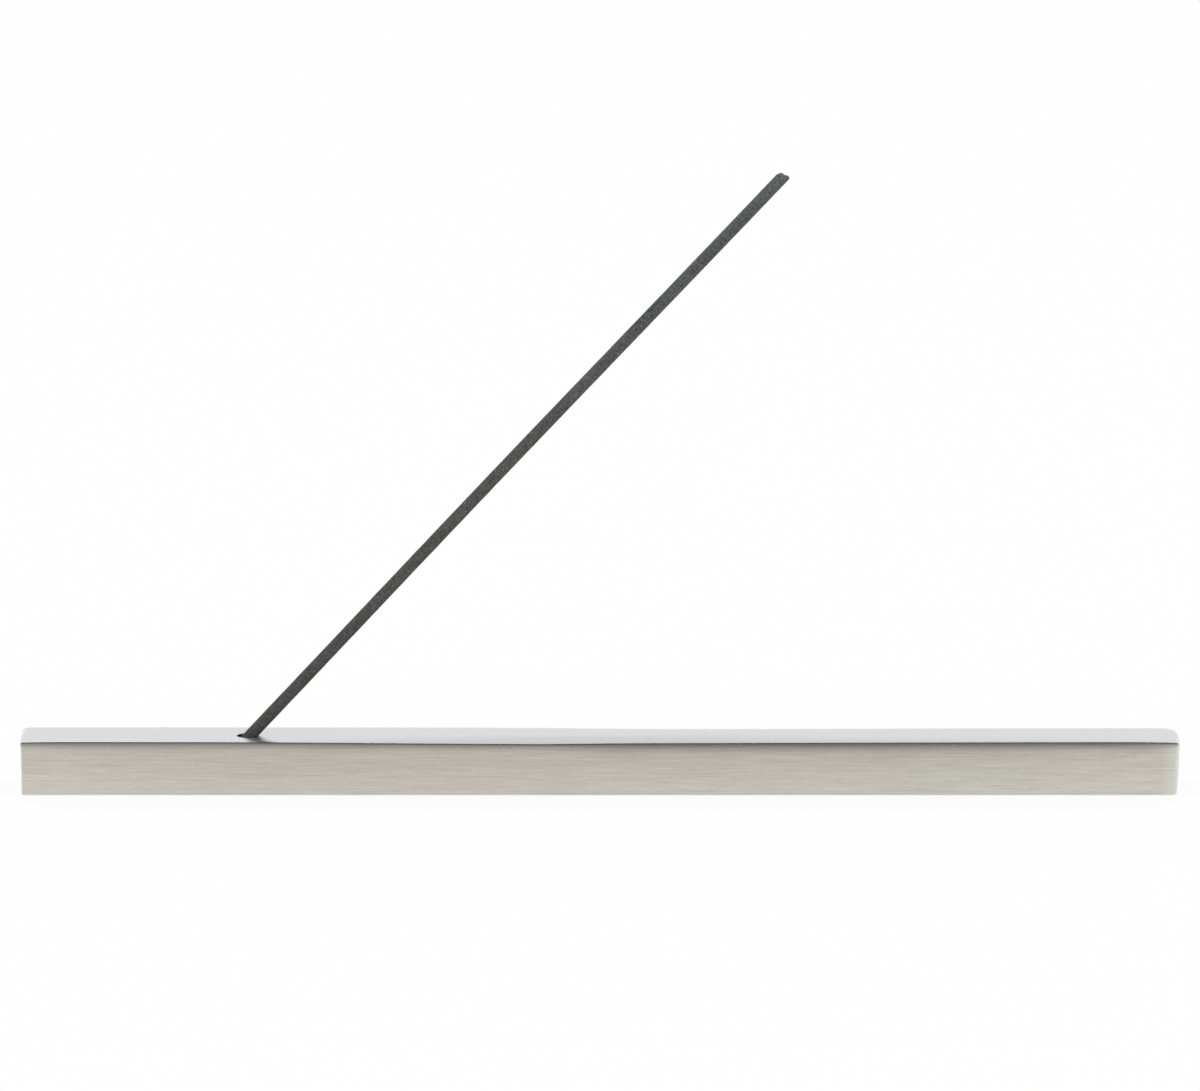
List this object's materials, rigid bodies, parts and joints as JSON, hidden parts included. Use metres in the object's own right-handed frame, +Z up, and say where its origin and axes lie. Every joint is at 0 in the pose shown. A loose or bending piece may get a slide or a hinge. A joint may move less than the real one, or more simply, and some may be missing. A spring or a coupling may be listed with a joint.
{
  "type": "incense burner",
  "caption": "Square bar of brushed steel that lies on a table, with a slanted blind bore near one end holding a leaning incense stick whose ash falls along the bar.",
  "frame": {"origin": "middle of the bar's footprint, on the table", "axes": "+X along the bar, away from the bored end; +Y to the back; +Z up"},
  "size_m": [0.2032, 0.0096, 0.1116],
  "materials": {
    "bar_steel": "fine brushed along the bar, edges rubbed soft by hand",
    "incense": "matt, fine grained, charcoal grey",
    "pad_rubber": "matt"
  },
  "bodies": {
    "holder": {"holder_bar": "bar_steel", "foot_pad_1": "pad_rubber", "foot_pad_2": "pad_rubber", "foot_pad_3": "pad_rubber", "foot_pad_4": "pad_rubber"},
    "stick": {"incense_stick": "incense"}
  },
  "joints": [
    {"name": "stick_slide", "type": "slide", "parent": "holder", "child": "stick", "axis": [0.6771, 0, 0.7359], "range_m": [0, 0.015]}
  ]
}
